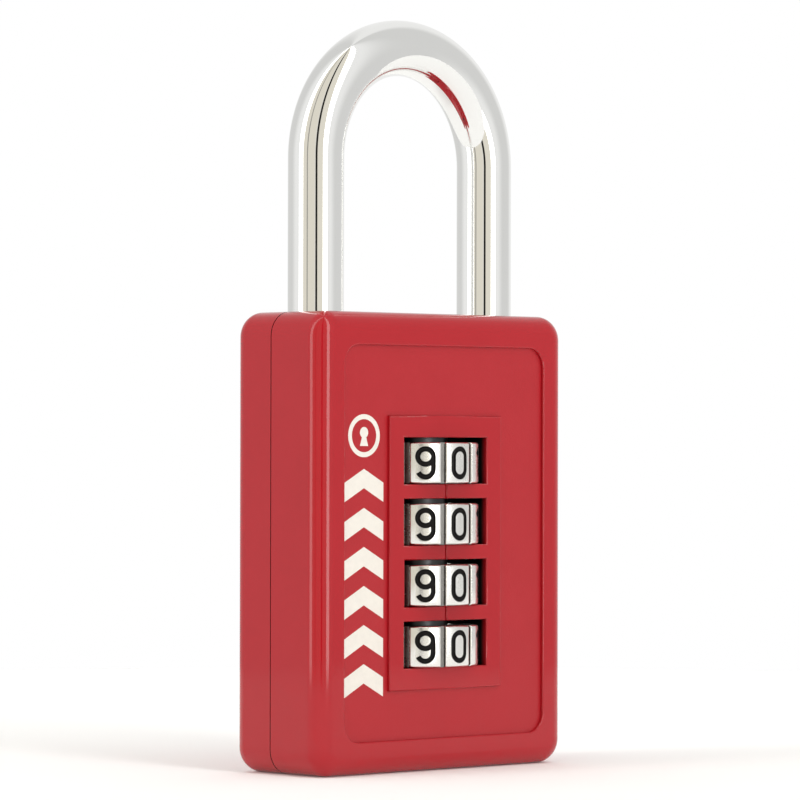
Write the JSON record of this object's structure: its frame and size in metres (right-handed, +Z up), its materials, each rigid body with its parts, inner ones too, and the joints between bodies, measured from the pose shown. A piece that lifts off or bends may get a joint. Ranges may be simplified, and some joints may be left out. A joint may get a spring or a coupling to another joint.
{
  "type": "combination padlock",
  "caption": "Resettable combination padlock: painted two part metal case, chromed round shackle and a column of turning number dials on the front.",
  "frame": {"origin": "on the flat underside of the case, half way across it, in the plane of the two shackle legs", "axes": "+Z up through the shackle, -Y out of the front with the dials, +X to the right seen from the front"},
  "size_m": [0.0386, 0.0171, 0.0855],
  "materials": {
    "red_paint": "satin gloss enamel on die-cast zinc",
    "chrome_bar": "bright chrome plate on hardened steel",
    "chrome_dial": "satin chrome with black filled digits",
    "zinc": "bare die-cast zinc",
    "steel": "stamped steel",
    "spring_steel": "spring wire and strip",
    "black_steel": "black oxide, lightly oiled",
    "brass_part": "turned brass"
  },
  "bodies": {
    "case": {"front_case": "red_paint", "rear_case": "red_paint", "case_rivets": "red_paint", "bottom_bushing": "brass_part", "detent_spring": "spring_steel", "detent_rivets": "steel", "shackle_spring": "spring_steel", "reset_spring": "spring_steel"},
    "shackle": {"shackle": "chrome_bar"},
    "spindle": {"spindle": "zinc", "lift_plate": "steel"},
    "reset_collar": {"reset_collar": "black_steel"},
    "dial_1": {"dial_1": "chrome_dial"},
    "clutch_1": {"clutch_1": "black_steel"},
    "dial_2": {"dial_2": "chrome_dial"},
    "clutch_2": {"clutch_2": "black_steel"},
    "dial_3": {"dial_3": "chrome_dial"},
    "clutch_3": {"clutch_3": "black_steel"},
    "dial_4": {"dial_4": "chrome_dial"},
    "clutch_4": {"clutch_4": "black_steel"}
  },
  "joints": [
    {"name": "shackle_lift", "type": "slide", "parent": "case", "child": "shackle", "axis": [0, 0, 1], "range_m": [0, 0.00691], "deforming": ["shackle_spring"]},
    {"name": "spindle_lift", "type": "slide", "parent": "case", "child": "spindle", "axis": [0, 0, 1], "range_m": [0, 0.00691]},
    {"name": "reset_press", "type": "slide", "parent": "case", "child": "reset_collar", "axis": [0, 0, 1], "range_m": [-0.0013, 0], "stiffness_N_per_m": 400, "deforming": ["reset_spring"]},
    {"name": "dial_1_turn", "type": "hinge", "parent": "case", "child": "dial_1", "pos_m": [0, -0.0028, 0.01413], "axis": [0, 0, 1], "continuous": true, "deforming": ["detent_spring"]},
    {"name": "clutch_1_slide", "type": "slide", "parent": "dial_1", "child": "clutch_1", "axis": [0, 0, 1], "range_m": [-0.0013, 0]},
    {"name": "dial_2_turn", "type": "hinge", "parent": "case", "child": "dial_2", "pos_m": [0, -0.0028, 0.02104], "axis": [0, 0, 1], "continuous": true, "deforming": ["detent_spring"]},
    {"name": "clutch_2_slide", "type": "slide", "parent": "dial_2", "child": "clutch_2", "axis": [0, 0, 1], "range_m": [-0.0013, 0]},
    {"name": "dial_3_turn", "type": "hinge", "parent": "case", "child": "dial_3", "pos_m": [0, -0.0028, 0.02795], "axis": [0, 0, 1], "continuous": true, "deforming": ["detent_spring"]},
    {"name": "clutch_3_slide", "type": "slide", "parent": "dial_3", "child": "clutch_3", "axis": [0, 0, 1], "range_m": [-0.0013, 0]},
    {"name": "dial_4_turn", "type": "hinge", "parent": "case", "child": "dial_4", "pos_m": [0, -0.0028, 0.03485], "axis": [0, 0, 1], "continuous": true, "deforming": ["detent_spring"]},
    {"name": "clutch_4_slide", "type": "slide", "parent": "dial_4", "child": "clutch_4", "axis": [0, 0, 1], "range_m": [-0.0013, 0]}
  ],
  "couplings": [
    {"joint": "spindle_lift", "follows": "shackle_lift", "ratio": 1},
    {"joint": "clutch_1_slide", "follows": "reset_press", "ratio": 1},
    {"joint": "clutch_2_slide", "follows": "reset_press", "ratio": 1},
    {"joint": "clutch_3_slide", "follows": "reset_press", "ratio": 1},
    {"joint": "clutch_4_slide", "follows": "reset_press", "ratio": 1}
  ]
}
